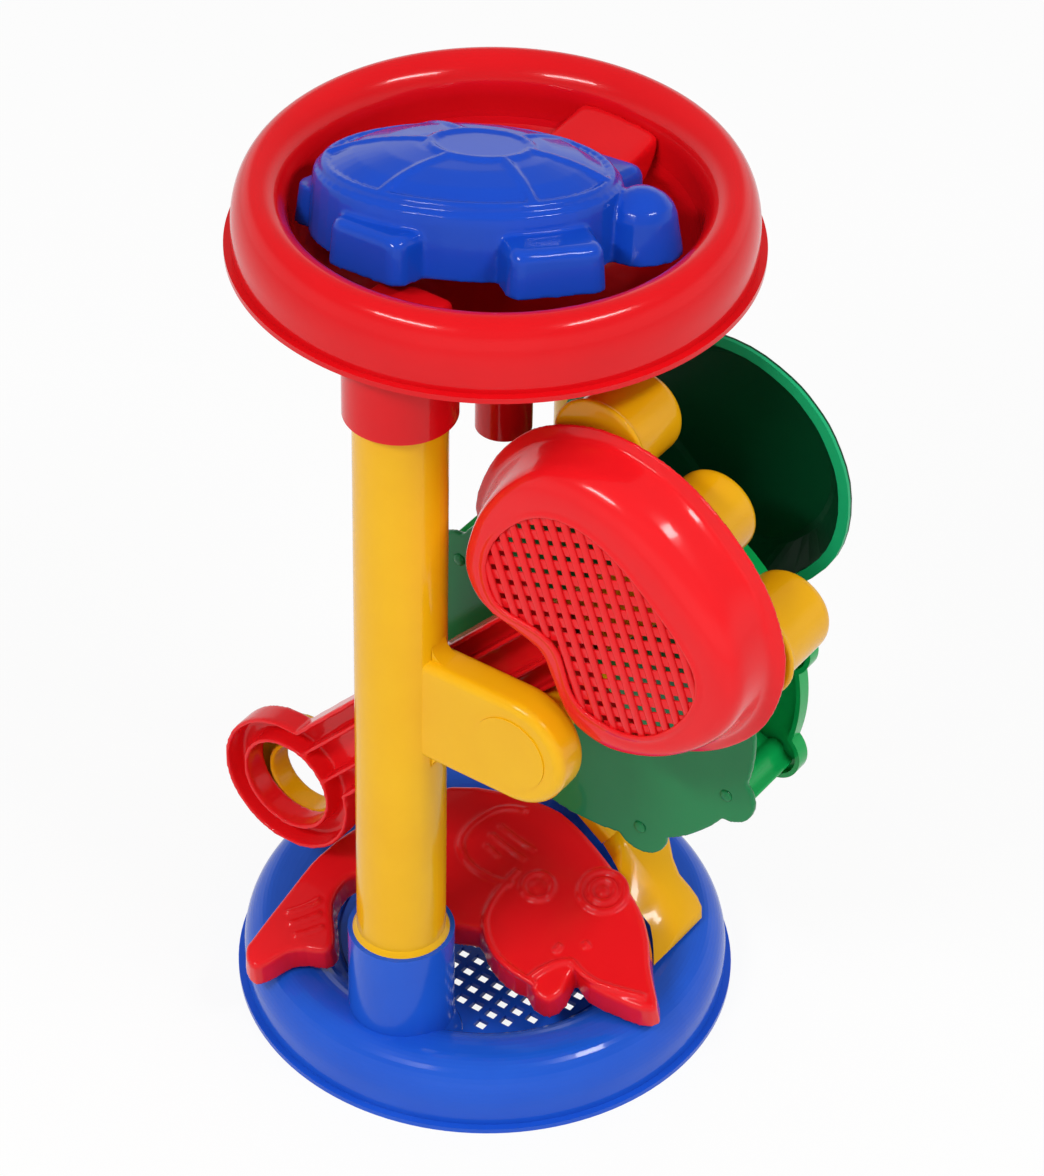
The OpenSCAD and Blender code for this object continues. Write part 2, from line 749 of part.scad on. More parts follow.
module scoop_sieve() {
    frame = [for (q = scoop_ring(scoop_floor_shares, -mesh_inset - fit, 0)) [q[0], q[1]]];
    field = [for (q = scoop_ring(scoop_floor_shares, -mesh_inset - mesh_hole, 0)) [q[0], q[1]]];
    mid = [scoop_s + scoop_w * 0.35, handle_n];
    reach = ceil(scoop_w / 2 / mesh_pitch);
    color("red") scoop_place() translate([0, 0, tool_wall - mesh_t]) linear_extrude(mesh_t)
        difference() {
            polygon(frame);
            for (i = [-reach:reach], j = [-reach:reach]) {
                at = mid + [
                    mesh_pitch * (i * cos(mesh_turn) - j * sin(mesh_turn)),
                    mesh_pitch * (i * sin(mesh_turn) + j * cos(mesh_turn))
                ];
                if (inside(at, field)) translate(at) rotate(mesh_turn) square(mesh_hole, center = true);
            }
        }
}

// Whether a point lies in an outline
function inside(p, o) = let (m = len(o)) len([
    for (i = [0:m - 1])
        let (a = o[i], b = o[(i + 1) % m])
        if ((a[1] > p[1]) != (b[1] > p[1]) && p[0] < a[0] + (p[1] - a[1]) / (b[1] - a[1]) * (b[0] - a[0])) i
]) % 2 == 1;

// A handle from the centre of its ring at s0 to s1 on the line n, open to the front
module handle_outline(s0, s1, n, w, r, inset) {
    translate([s0, n]) circle(r = r - inset);
    translate([s0, n - w / 2 + inset]) square([s1 - s0, w - 2 * inset]);
}

module tool_handle(s0, s1, n, w, r, hole, t) {
    linear_extrude(tool_wall) difference() {
        handle_outline(s0, s1, n, w, r, 0);
        translate([s0, n]) circle(r = hole);
    }
    linear_extrude(t) difference() {
        handle_outline(s0, s1, n, w, r, 0);
        handle_outline(s0, s1 + over, n, w, r, tool_wall);
    }
    linear_extrude(t) translate([s0, n]) difference() {
        circle(r = hole + tool_wall);
        circle(r = hole);
    }
    for (side = [-1, 1])
        translate([s0 + hole, n + side * rib_at - rib_t / 2, 0]) cube([s1 - s0 - hole, rib_t, t - rib_drop]);
}

module scoop_handle() {
    color("red") difference() {
        lay_tool() translate([0, 0, scoop_handle_z])
            tool_handle(ring_s, handle_end_s + scoop_edge, handle_n, handle_w, ring_r, ring_hole_r, handle_t);
        scoop_place() scoop_solid(fit);
    }
}

// Rake
module rake_head() {
    color("gold") lay_tool() difference() {
        union() {
            translate([0, 0, rake_front - rake_plate_t]) linear_extrude(rake_plate_t) {
                for (n = tine_n) translate([tine_s, n]) circle(r = tine_r + rake_plate_t);
                translate([tine_s - tine_r, tine_n[0]]) square([2 * tine_r, tine_n[2] - tine_n[0]]);
                translate([rake_neck_s, rake_n - rake_w / 2]) square([tine_s - rake_neck_s, rake_w]);
            }
            translate([rake_neck_s, rake_n - rake_w / 2, rake_back]) cube([rake_neck_len, rake_w, handle_t]);
            for (n = tine_n) translate([tine_s, n, rake_front - tine_len]) rotate_extrude() {
                translate([0, tine_round]) square([tine_r, tine_len - tine_round]);
                square([tine_r - tine_round, tine_len]);
                translate([tine_r - tine_round, tine_round]) circle(r = tine_round, $fn = 32);
            }
        }
        for (n = tine_n) translate([tine_s, n, rake_front - tine_len + tine_round])
            cylinder(r = tine_r - tool_wall, h = tine_len);
        translate([rake_neck_s + rake_plate_t, rake_n - rake_w / 2 + tool_wall, rake_back + tool_wall])
            cube([rake_neck_len - 2 * rake_plate_t, rake_w - 2 * tool_wall, handle_t]);
    }
}

module rake_handle() {
    color("gold") lay_tool() translate([0, 0, rake_back])
        tool_handle(rake_ring_s, rake_neck_s - fit, rake_n, rake_w, rake_ring_r, rake_hole_r, handle_t);
}

// Shovel
blade_rim_shares = [
    [-1.196, 0], [-1.19, 0.4], [-1.15, 0.66], [-1.02, 0.83], [-0.72, 0.94], [-0.3, 0.99],
    [0.2, 0.98], [0.55, 0.835], [0.83, 0.558], [0.97, 0.243], [1, 0]
];
blade_floor_shares = [
    [-0.54, 0], [-0.54, 0.3], [-0.52, 0.5], [-0.44, 0.66], [-0.25, 0.76], [-0.02, 0.79],
    [0.22, 0.76], [0.46, 0.65], [0.66, 0.44], [0.77, 0.19], [0.8, 0]
];

function blade_ring(shares, d, z) =
    lift([for (q = grow(smooth(blade_r * mirrored(shares), 3), d)) [blade_s + q[0], blade_n + q[1]]], z);

module blade_place() {
    lay_tool() translate([0, 0, -blade_y - blade_depth]) children();
}

module blade_solid(d) {
    skin([
        blade_ring(blade_floor_shares, d - blade_rim, 0),
        blade_ring(blade_floor_shares, d, blade_rim),
        blade_ring(blade_rim_shares, d - blade_rim, blade_depth - blade_rim),
        blade_ring(blade_rim_shares, d, blade_depth - blade_rim),
        blade_ring(blade_rim_shares, d, blade_depth)
    ]);
}

module shovel_blade() {
    color("darkgreen") blade_place() difference() {
        blade_solid(0);
        skin([
            blade_ring(blade_floor_shares, -blade_rim - tool_wall, tool_wall),
            blade_ring(blade_floor_shares, -tool_wall, blade_rim + tool_wall / 2),
            blade_ring(blade_rim_shares, -blade_rim - tool_wall, blade_depth - blade_rim),
            blade_ring(blade_rim_shares, -blade_rim - tool_wall, blade_depth + over)
        ]);
    }
}

module shovel_handle() {
    color("darkgreen") difference() {
        lay_tool() translate([0, 0, -shovel_handle_y - shovel_handle_t]) tool_handle(shovel_ring_s,
            blade_s - blade_r * 0.9, blade_n, handle_w, ring_r, ring_hole_r, shovel_handle_t);
        blade_place() blade_solid(fit);
    }
}

// Arched sections of the spade, moved in by t, with the ends and the feet moved on by past
function spade_arch(q, t, past) = [
    [q[1] + t, q[6] - past], [q[2] - spade_round + t, q[5] * 0.9 - t], [q[2] + spade_round + t, q[5] - t],
    [q[3] - spade_round - t, q[5] - t], [q[3] + spade_round - t, q[5] * 0.9 - t], [q[4] - t, q[6] - past]
];

function spade_rings(t, past) = [
    for (i = [len(spade_rows) - 1:-1:0])
        let (q = spade_rows[i], z = i == 0 ? past : i == len(spade_rows) - 1 ? -q[0] - past : -q[0])
        lift(flip(spade_arch(q, t, past)), z)
];

// Across the slope, out of it and down it
module spade_place() {
    translate(spade_at) rotate([0, 90 + spade_slope, 0]) rotate(90) children();
}

module spade_blade() {
    color("gold") spade_place() difference() {
        skin(spade_rings(0, 0));
        skin(spade_rings(spade_wall, over));
    }
}

module spade_handle() {
    last = spade_rows[len(spade_rows) - 1];
    color("gold") spade_place()
        translate([(last[1] + last[4]) / 2, last[5] - spade_grip[1] / 2, -spade_grip[2]])
            linear_extrude(spade_grip[2] - last[0] - fit)
                round_section(spade_grip[0], spade_grip[1], spade_grip[1] * 0.3);
}

// A rounded box in the bowl over the neck of a post
module bump(side) {
    low = shoulder_z + rest_gap;
    hull() for (a = [-1, 1], b = [-1, 1]) {
        drop = b == side ? 0 : bump_rise;
        translate([a * (bump_w / 2 - bump_edge), b * (bump_in - bump_edge), 0]) {
            translate([0, 0, bump_z + bump_rise - drop - bump_edge]) sphere(r = bump_edge, $fn = 24);
            translate([0, 0, low]) cylinder(r = bump_edge, h = bump_edge, $fn = 24);
        }
    }
}

base_tray();
base_sieve();
front_post();
back_post();
hopper_rim();
hopper_bowl();
hopper_spout();
hopper_collars();
hopper_caps();
axle();
front_spacer();
back_spacer();
wheel_core();
wheel_front_disc();
wheel_back_disc();
wheel_pins();
turtle_mould();
fish_mould();
scoop_basket();
scoop_sieve();
scoop_handle();
rake_head();
rake_handle();
shovel_blade();
shovel_handle();
spade_blade();
spade_handle();
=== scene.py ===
# %% [markdown]
# # A sand wheel toy
# Sand poured into the red hopper runs through its spout, turns a green bucket wheel and falls
# through the sieve in the blue base. A turtle and a fish mould, a scoop, a rake, a shovel and a
# spade are stored on the stand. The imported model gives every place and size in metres, so this
# lesson only adds what moulded plastic looks like: round edges, raised lines, gloss and colour.

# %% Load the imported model
import math

import bmesh
import bpy
from mathutils import Matrix, Vector
from mathutils.kdtree import KDTree
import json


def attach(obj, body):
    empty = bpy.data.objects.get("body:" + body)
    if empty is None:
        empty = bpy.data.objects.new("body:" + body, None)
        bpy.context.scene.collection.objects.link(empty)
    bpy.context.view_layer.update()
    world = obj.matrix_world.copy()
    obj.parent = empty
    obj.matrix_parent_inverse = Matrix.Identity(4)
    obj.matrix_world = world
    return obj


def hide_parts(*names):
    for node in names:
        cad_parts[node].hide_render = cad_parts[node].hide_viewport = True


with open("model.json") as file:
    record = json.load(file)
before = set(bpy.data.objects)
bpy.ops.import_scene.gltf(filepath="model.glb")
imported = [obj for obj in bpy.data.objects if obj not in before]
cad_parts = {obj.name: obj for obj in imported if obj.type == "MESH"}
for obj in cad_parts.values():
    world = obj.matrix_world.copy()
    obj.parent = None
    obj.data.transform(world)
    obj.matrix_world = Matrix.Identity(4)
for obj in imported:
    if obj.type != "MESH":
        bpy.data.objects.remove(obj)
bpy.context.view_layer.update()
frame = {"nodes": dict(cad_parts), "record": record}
MM = 0.001

# %% [markdown]
# ## The camera
# The photograph was taken from above and to the right with a long lens, so upright lines lean
# together only a little. A camera is easiest to set from its place and the way it looks: the
# cross products of that way with the level line give its side and its top.

# %% Camera
LENS = 131.63
SENSOR_WIDTH = 36
FAR_END = 20
CAMERA_AT = (0.6808, -0.9782, 1.1424)
CAMERA_WAY = (-0.4385, 0.6429, -0.6280)
CAMERA_ROLL = -1.2


def aim(place, forward, roll):
    """A matrix for a camera or lamp at place that looks along forward, rolled by some degrees."""
    forward = Vector(forward).normalized()
    level = forward.cross(Vector((0, 0, 1))).normalized()
    turn = Matrix.Rotation(math.radians(roll), 3, forward)
    side = turn @ level
    top = side.cross(forward)
    return Matrix.Translation(place) @ Matrix((side, top, -forward)).transposed().to_4x4()


lens = bpy.data.cameras.new("camera")
lens.lens = LENS
lens.sensor_width = SENSOR_WIDTH
lens.clip_end = FAR_END
camera = bpy.data.objects.new("camera", lens)
camera.matrix_world = aim(CAMERA_AT, CAMERA_WAY, CAMERA_ROLL)
bpy.context.scene.collection.objects.link(camera)
bpy.context.scene.camera = camera
bpy.context.scene.view_settings.view_transform = "Standard"
print("camera", [round(v, 3) for v in camera.location])

# %% [markdown]
# ## Node recipes
# A material is a web of nodes. Two small classes keep it readable: a recipe adds a node with its
# settings and inputs in one line, and a wire stands for an output, so that sums of wires are
# written as plain Python and become Math nodes.

# %% Wires
class Wire:
    """An output socket that takes part in Python sums."""

    def __init__(self, recipe, socket):
        self.recipe, self.socket = recipe, socket

    def join(self, operation, *values):
        return self.recipe.add("ShaderNodeMath", {"operation": operation}, dict(enumerate(values)))

    def __add__(self, other):
        return self.join("ADD", self, other)

    def __sub__(self, other):
        return self.join("SUBTRACT", self, other)

    def __rsub__(self, other):
        return self.join("SUBTRACT", other, self)

    def __mul__(self, other):
        return self.join("MULTIPLY", self, other)

    __radd__ = __add__
    __rmul__ = __mul__


print("sums of wires:", "add, subtract and multiply")

# %% Recipes
FIRST_COLOUR = 6
SECOND_COLOUR = 7
COLOUR_OUT = 2


class Recipe:
    """A node tree and the one way in which nodes are added to it."""

    def __init__(self, tree):
        self.tree = tree
        self.tree.nodes.clear()

    def add(self, kind, settings, inputs, output=0):
        node = self.tree.nodes.new(kind)
        for name, value in settings.items():
            if name == "stops":
                for stop, (place, level) in zip(node.color_ramp.elements, value):
                    stop.position = place
                    stop.color = (level, level, level, 1)
            else:
                setattr(node, name, value)
        for name, value in inputs.items():
            if isinstance(value, Wire):
                self.tree.links.new(value.socket, node.inputs[name])
            else:
                node.inputs[name].default_value = value
        return Wire(self, node.outputs[output]) if len(node.outputs) else node

    def blend(self, factor, first, second):
        """A colour between two colours."""
        inputs = {0: factor, FIRST_COLOUR: first, SECOND_COLOUR: second}
        return self.add("ShaderNodeMix", {"data_type": "RGBA"}, inputs, COLOUR_OUT)


print("recipe:", "one way to add a node, and a blend of two colours")

# %% [markdown]
# ## Colours
# A screen's numbers aren't amounts of light: they follow a curve that spends more of them on dark
# tones. Undoing that curve gives the linear values that a renderer works with.

# %% Colours
SCREEN_TOP = 255
DARK_END = 10
DARK_SLOPE = 12.92
CURVE_OFFSET = 0.055
CURVE_POWER = 2.4


def linear(value):
    if value <= DARK_END:
        return value / SCREEN_TOP / DARK_SLOPE
    return ((value / SCREEN_TOP + CURVE_OFFSET) / (1 + CURVE_OFFSET)) ** CURVE_POWER


def paint(red, green, blue):
    """A colour written as on a screen, 0 to 255, turned into the linear values that light uses."""
    return (linear(red), linear(green), linear(blue), 1)


print("half of a screen's range in light:", round(linear(SCREEN_TOP / 2), 3))

# %% [markdown]
# ## Floor, sky and lamps
# The toy stands in a studio whose floor and sky look white to the camera. To the rays that gather
# light the floor is matt and the sky is half as bright, so the plastic keeps its colour and the
# floor takes a faint shadow. Mirror rays see a dimmer floor and ceiling, or every gloss would wash
# the colour out.

# %% Floor
STUDIO_WHITE = (1, 1, 1, 1)
FLOOR_MATT = (0.9, 0.9, 0.9, 1)
FLOOR_SIZE = 6
FLOOR_MIRRORED = 0.55
SHADOW_SHARE = 0.1


def seen_rays(recipe, mirrored=1):
    """1 for rays that show a surface as it looks and 0 for rays that gather light.

    Mirror rays may get a smaller share."""
    camera_ray, glossy, clear = (recipe.add("ShaderNodeLightPath", {}, {}, kind) for kind in (
        "Is Camera Ray", "Is Glossy Ray", "Is Transmission Ray"))
    return camera_ray + glossy * mirrored + clear


def make_floor():
    bm = bmesh.new()
    bmesh.ops.create_grid(bm, x_segments=1, y_segments=1, size=FLOOR_SIZE)
    mesh = bpy.data.meshes.new("floor")
    bm.to_mesh(mesh)
    bm.free()
    floor = bpy.data.objects.new("floor", mesh)
    bpy.context.scene.collection.objects.link(floor)
    material = bpy.data.materials.new("studio_floor")
    material.use_nodes = True
    recipe = Recipe(material.node_tree)
    seen = seen_rays(recipe, FLOOR_MIRRORED)
    glow = recipe.add("ShaderNodeEmission", {}, {"Color": STUDIO_WHITE, "Strength": 1})
    matt = recipe.add("ShaderNodeBsdfDiffuse", {}, {"Color": FLOOR_MATT})
    both = recipe.add("ShaderNodeMixShader", {}, {0: seen * (1 - SHADOW_SHARE), 1: matt, 2: glow})
    recipe.add("ShaderNodeOutputMaterial", {}, {"Surface": both})
    mesh.materials.append(material)


make_floor()
print("floor:", FLOOR_SIZE * 2, "m wide")

# %% Sky
SKY_LEVEL = 0.53
CEILING_START = 0.25
CEILING_FULL = 0.45
CEILING_DARK = 0.6


def make_sky(level):
    """A sky of one level for light and white for the camera, with a dark ceiling in mirror rays."""
    world = bpy.data.worlds.new("studio_sky")
    bpy.context.scene.world = world
    world.use_nodes = True
    recipe = Recipe(world.node_tree)
    way = recipe.add("ShaderNodeTexCoord", {}, {}, "Generated")
    height = recipe.add("ShaderNodeSeparateXYZ", {}, {"Vector": way}, "Z")
    dark = recipe.add("ShaderNodeMapRange", {}, {
        "Value": height, "From Min": CEILING_START, "From Max": CEILING_FULL, "To Max": CEILING_DARK})
    mirrored = recipe.add("ShaderNodeLightPath", {}, {}, "Is Glossy Ray")
    strength = seen_rays(recipe) * (1 - level) + level - mirrored * dark
    back = recipe.add("ShaderNodeBackground", {}, {"Color": STUDIO_WHITE, "Strength": strength})
    recipe.add("ShaderNodeOutputWorld", {}, {"Surface": back})


make_sky(SKY_LEVEL)
print("sky:", SKY_LEVEL)

# %% [markdown]
# ## Lamps
# Two long soft boxes, one on each side of the camera, give the crisp streaks that make plastic look
# moulded. A wide sheet of faint light behind the camera fills the shadows.

# %% Lamps
MIDDLE = (0.02, 0, 0.19)
BOX_SIZE = (0.7, 0.15)
SHEET_SIZE = (2.4, 2.4)
LAMPS = {
    "right_box": ((1.16, -0.04, 1.65), BOX_SIZE, 12),
    "left_box": ((-0.16, -1.29, 1.5), BOX_SIZE, 12),
    "front_sheet": ((1.2, -2.1, 1.2), SHEET_SIZE, 2),
}


def soft_box(name, place, size, watts):
    """A rectangular lamp that faces the middle of the toy."""
    light = bpy.data.lights.new(name, "AREA")
    light.shape = "RECTANGLE"
    light.size, light.size_y = size
    light.energy = watts
    lamp = bpy.data.objects.new(name, light)
    lamp.matrix_world = aim(place, Vector(MIDDLE) - Vector(place), 0)
    bpy.context.scene.collection.objects.link(lamp)


for lamp_name, (lamp_at, lamp_size, lamp_watts) in LAMPS.items():
    soft_box(lamp_name, lamp_at, lamp_size, lamp_watts)
print("lamps:", len(LAMPS))

# %% [markdown]
# ## Moulded plastic
# Glossy plastic is one colour through and through, but it never looks flat: the melt leaves faint
# clouds, the mould's polish leaves ripples a few millimetres long, and handling leaves hairline
# scratches that only show in the highlights. Clouds feed the colour, scratches the roughness and
# ripples the bump. On the shovel a painted highlight makes the rim brighter than its inside.

# %% Plastic
CLOUD_SCALE = 35
CLOUD_DETAIL = 3
CLOUD_SHARE = 0.8
CLOUD_ROUGH = 0.08
HAIR_SCALE = 900
HAIR_TURN = (0.4, 0.7, 0.2)
HAIR_STRETCH = (1, 0.06, 1)
SCRATCH_STOPS = [(0.62, 0), (0.72, 1)]
SCRATCH_ROUGH = 0.07
RIPPLE_SCALE = 170
RIPPLE_STRENGTH = 0.04
RIPPLE_HEIGHT = 0.0004
PLASTIC_ROUGH = 0.13
PLASTIC_COAT = 0.22
COAT_ROUGH = 0.03
PLASTIC_IOR = 1.5
PLASTIC_SHEEN = 0.14


def plastic(name, colour, deep, rough=PLASTIC_ROUGH, coat=PLASTIC_COAT, rim=None):
    """Moulded plastic between two shades of a colour; a rim before some depth gets a brighter colour as a
    painted highlight.
    """
    material = bpy.data.materials.new(name)
    material.use_nodes = True
    recipe = Recipe(material.node_tree)
    place = recipe.add("ShaderNodeTexCoord", {}, {}, "Object")
    cloud = recipe.add("ShaderNodeTexNoise", {}, {
        "Vector": place, "Scale": CLOUD_SCALE, "Detail": CLOUD_DETAIL})
    stretched = recipe.add("ShaderNodeMapping", {}, {
        "Vector": place, "Rotation": HAIR_TURN, "Scale": HAIR_STRETCH})
    hair = recipe.add("ShaderNodeTexNoise", {}, {"Vector": stretched, "Scale": HAIR_SCALE, "Detail": 2})
    scratch = recipe.add("ShaderNodeValToRGB", {"stops": SCRATCH_STOPS}, {"Fac": hair})
    waves = recipe.add("ShaderNodeTexNoise", {}, {"Vector": place, "Scale": RIPPLE_SCALE, "Detail": 1})
    bump = recipe.add("ShaderNodeBump", {}, {
        "Strength": RIPPLE_STRENGTH, "Distance": RIPPLE_HEIGHT, "Height": waves})
    shade = recipe.blend(cloud * CLOUD_SHARE, colour, deep)
    # Painted highlight: a brighter colour laid on the rim before some depth in Y.
    if rim:
        depth = recipe.add("ShaderNodeSeparateXYZ", {}, {"Vector": place}, "Y")
        shade = recipe.blend(depth.join("GREATER_THAN", depth, rim[0]), rim[1], shade)
    shader = recipe.add("ShaderNodeBsdfPrincipled", {}, {
        "Base Color": shade,
        "Roughness": cloud * CLOUD_ROUGH + scratch * SCRATCH_ROUGH + rough,
        "Normal": bump,
        "IOR": PLASTIC_IOR,
        "Specular IOR Level": PLASTIC_SHEEN,
        "Coat Weight": coat,
        "Coat Roughness": COAT_ROUGH,
    })
    recipe.add("ShaderNodeOutputMaterial", {}, {"Surface": shader})
    return material


print("plastic:", CLOUD_SCALE, RIPPLE_SCALE, HAIR_SCALE)

# %% [markdown]
# ## The toy's ten finishes
# Each moulding has its own melt. The wheel's discs are a greyer green than its paddles. The
# shovel's greens are darkened to almost black inside as painted shade, and its rim is brighter as a painted
# highlight.

# %% Finishes
SHADES = {
    "base_blue": ((32, 94, 212), (24, 78, 196)),
    "post_yellow": ((246, 190, 18), (236, 172, 8)),
    "hopper_red": ((226, 16, 24), (208, 8, 18)),
    "axle_white": ((235, 235, 230), (220, 220, 214)),
    "wheel_green": ((16, 172, 86), (12, 154, 76)),
    "disc_green": ((28, 132, 76), (22, 118, 66)),
    "turtle_blue": ((20, 74, 194), (14, 64, 178)),
    "tool_red": ((238, 28, 34), (226, 20, 28)),
    "tool_yellow": ((238, 178, 14), (226, 160, 8)),
}
# Painted shade: the shovel's greens are darkened to almost black for its inside.
SHOVEL_PAINTED_SHADE = ((6, 74, 42), (4, 62, 36))
SHOVEL_ROUGH = 0.3
SHOVEL_COAT = 0.05
# Painted highlight: the shovel's rim, before this depth in Y, gets a brighter green.
SHOVEL_RIM_HIGHLIGHT = (0.0293, paint(26, 172, 112))
FINISHES = {name: plastic(name, paint(*light), paint(*deep)) for name, (light, deep) in SHADES.items()}
FINISHES["shovel_green"] = plastic(
    "shovel_green", paint(*SHOVEL_PAINTED_SHADE[0]), paint(*SHOVEL_PAINTED_SHADE[1]), SHOVEL_ROUGH, SHOVEL_COAT, SHOVEL_RIM_HIGHLIGHT)
for part in frame["record"]["subparts"]:
    surface = frame["nodes"][part["node"]].data
    surface.materials.clear()
    surface.materials.append(FINISHES[part["material_slot"]])
print("finishes:", len(FINISHES))

# %% [markdown]
# ## From solids to pieces
# A mould's CAD solid already has its right outline, walls and place, so most pieces start from a
# copy of it. Every new piece rides on its body, stands for some nodes and takes their finish.

# %% Pieces
SLOT_OF = {part["node"]: part["material_slot"] for part in frame["record"]["subparts"]}
BODIES = frame["record"]["behaviour"]["bodies"]
BODY_OF = {node: body for body, nodes in BODIES.items() for node in nodes}
DOUBLES_APART = 0.01


def cad_copy(*nodes):
    """One merged bmesh of some CAD nodes, whose own meshes stay as they are."""
    bm = bmesh.new()
    for node in nodes:
        bm.from_mesh(frame["nodes"][node].data)
    bmesh.ops.remove_doubles(bm, verts=bm.verts, dist=DOUBLES_APART * MM)
    return bm


def add_piece(name, bm, *nodes):
    """A piece that stands for some CAD nodes and takes its body and finish from the first."""
    bmesh.ops.recalc_face_normals(bm, faces=bm.faces)
    mesh = bpy.data.meshes.new(name)
    bm.to_mesh(mesh)
    bm.free()
    mesh.shade_smooth()
    mesh.materials.append(FINISHES[SLOT_OF[nodes[0]]])
    piece = bpy.data.objects.new(name, mesh)
    bpy.context.scene.collection.objects.link(piece)
    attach(piece, BODY_OF[nodes[0]])
    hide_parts(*nodes)
    return piece


def turned(shift, *turns):
    """A matrix from a shift in millimetres and turns as pairs of degrees and axis."""
    matrix = Matrix.Translation(Vector(shift) * MM)
    for degrees, axis in turns:
        matrix = matrix @ Matrix.Rotation(math.radians(degrees), 4, axis)
    return matrix


print("nodes with a finish:", len(SLOT_OF))

# %% [markdown]
# ## Raised lines
# A mould shows its lines as half-round beads. A bead is a curve with a round section, turned into a
# mesh and sunk half into the surface that it decorates, and a button is a flattened sphere.

# %% Beads and buttons
def bead(bm, points, radius, place, closed=False):
    """A round bead through points in millimetres, sunk into the surface that it decorates."""
    curve = bpy.data.curves.new("bead", "CURVE")
    curve.dimensions = "3D"
    curve.bevel_depth = radius * MM
    curve.bevel_resolution = 3
    curve.resolution_u = 6
    curve.use_fill_caps = True
    spline = curve.splines.new("NURBS")
    spline.points.add(len(points) - 1)
    for target, point in zip(spline.points, points):
        target.co = (*(place @ (Vector(point) * MM)), 1)
    spline.order_u = min(4, len(points))
    spline.use_endpoint_u = not closed
    spline.use_cyclic_u = closed
    holder = bpy.data.objects.new("bead", curve)
    bpy.context.scene.collection.objects.link(holder)
    bpy.context.view_layer.update()
    flesh = holder.to_mesh()
    bm.from_mesh(flesh)
    holder.to_mesh_clear()
    bpy.data.objects.remove(holder)


def button(bm, centre, radius, height, place):
    """A flat dome of the given radius and height, in millimetres."""
    squash = Matrix.Diagonal((radius * MM, radius * MM, height * MM, 1))
    bmesh.ops.create_uvsphere(
        bm, u_segments=32, v_segments=16, radius=1,
        matrix=place @ Matrix.Translation(Vector(centre) * MM) @ squash)


print("helpers:", bead.__name__, "and", button.__name__)

# %% [markdown]
# ## Melting
# A voxel remesh melts a solid and its beads into one skin, as the steel of the real mould was one
# surface. Smoothing the skin then rounds every edge and every joint. A wall that is too thin for
# its voxels comes out with holes.

# %% Melting
def loose(bm, name):
    """A plain object around a bmesh, for a modifier to work on."""
    mesh = bpy.data.meshes.new(name)
    bm.to_mesh(mesh)
    bm.free()
    holder = bpy.data.objects.new(name, mesh)
    bpy.context.scene.collection.objects.link(holder)
    return holder


def applied(mesh_object, settings, kind="REMESH"):
    """The mesh that an object has after one modifier, as a bmesh; the object goes."""
    modifier = mesh_object.modifiers.new("once", kind)
    for key, value in settings.items():
        setattr(modifier, key, value)
    bpy.context.view_layer.update()
    graph = bpy.context.evaluated_depsgraph_get()
    bm = bmesh.new()
    bm.from_object(mesh_object, graph)
    bpy.data.objects.remove(mesh_object)
    return bm


def soften(bm, verts, rounds):
    for _ in range(rounds):
        bmesh.ops.smooth_vert(
            bm, verts=verts, factor=0.5, use_axis_x=True, use_axis_y=True, use_axis_z=True)


def melted(name, bm, voxel, rounds, node, reshape=None, zone_rounds=0):
    """All loose shells of a bmesh as one smooth skin that stands for a node.

    reshape bends the skin and picks the part that is smoothed more."""
    skin = applied(loose(bm, name + "_raw"), {"mode": "VOXEL", "voxel_size": voxel * MM})
    soften(skin, skin.verts, rounds)
    if reshape:
        soften(skin, reshape(skin), zone_rounds)
    piece = add_piece(name, skin, node)
    print(name, len(piece.data.polygons), "faces")


print("helpers:", loose.__name__, applied.__name__, soften.__name__, "and", melted.__name__)

# %% [markdown]
# ## Turtle mould
# Its shell has a raised rim, an oval panel in the middle and ribs between the two, like the plates
# of a turtle's shell. The ribs follow the dome: at the share q of the way from its middle to its
# rim, the dome has fallen by q cubed of its height.

# %% Turtle
TURTLE_PLACE = turned((-3.6, -11.5, 337), (34.3, "Z"), (-12, "X"), (-11, "Z"))
SHELL = (51.5, 39.1)
SHELL_SIDE = 22
SHELL_DOME = 10
RIM_INSET = 3.5
RIM_POINTS = 32
PANEL_AT = (4, 0.5)
PANEL = (17, 13)
PANEL_POINTS = 20
RIB = 1.9
RIB_DEPTH = 0.5
RIB_INSET = 4
RIB_TURNS = (-118, -54, -4, 52, 118, 178)
RIB_STEPS = 5
TURTLE_VOXEL = 0.7
TURTLE_ROUNDS = 2


def on_dome(x, y):
    """A point just below the surface of the dome."""
    share = min(math.hypot(x / SHELL[0], y / SHELL[1]), 1)
    return (x, y, SHELL_SIDE + SHELL_DOME * (1 - share ** 3) - RIB_DEPTH)


def oval(centre, half, count):
    turns = [2 * math.pi * i / count for i in range(count)]
    return [on_dome(centre[0] + half[0] * math.cos(t), centre[1] + half[1] * math.sin(t)) for t in turns]


def make_turtle():
    bm = cad_copy("turtle_mould")
    rim = (SHELL[0] - RIM_INSET, SHELL[1] - RIM_INSET)
    bead(bm, oval((0, 0), rim, RIM_POINTS), RIB, TURTLE_PLACE, closed=True)
    bead(bm, oval(PANEL_AT, PANEL, PANEL_POINTS), RIB, TURTLE_PLACE, closed=True)
    for turn in RIB_TURNS:
        way = (math.cos(math.radians(turn)), math.sin(math.radians(turn)))
        start = [PANEL_AT[i] + PANEL[i] * way[i] for i in (0, 1)]
        end = [(SHELL[i] - RIB_INSET) * way[i] for i in (0, 1)]
        steps = [[start[i] + (end[i] - start[i]) * k / RIB_STEPS for i in (0, 1)]
                 for k in range(RIB_STEPS + 1)]
        bead(bm, [on_dome(*step) for step in steps], RIB, TURTLE_PLACE)
    melted("turtle", bm, TURTLE_VOXEL, TURTLE_ROUNDS, "turtle_mould")


make_turtle()

# %% [markdown]
# ## Fish mould
# Raised lines draw the fish on its flat top: the border of its head, two eyes, the lips, two
# nostrils, the fin with its ribs and the rays of its tail.

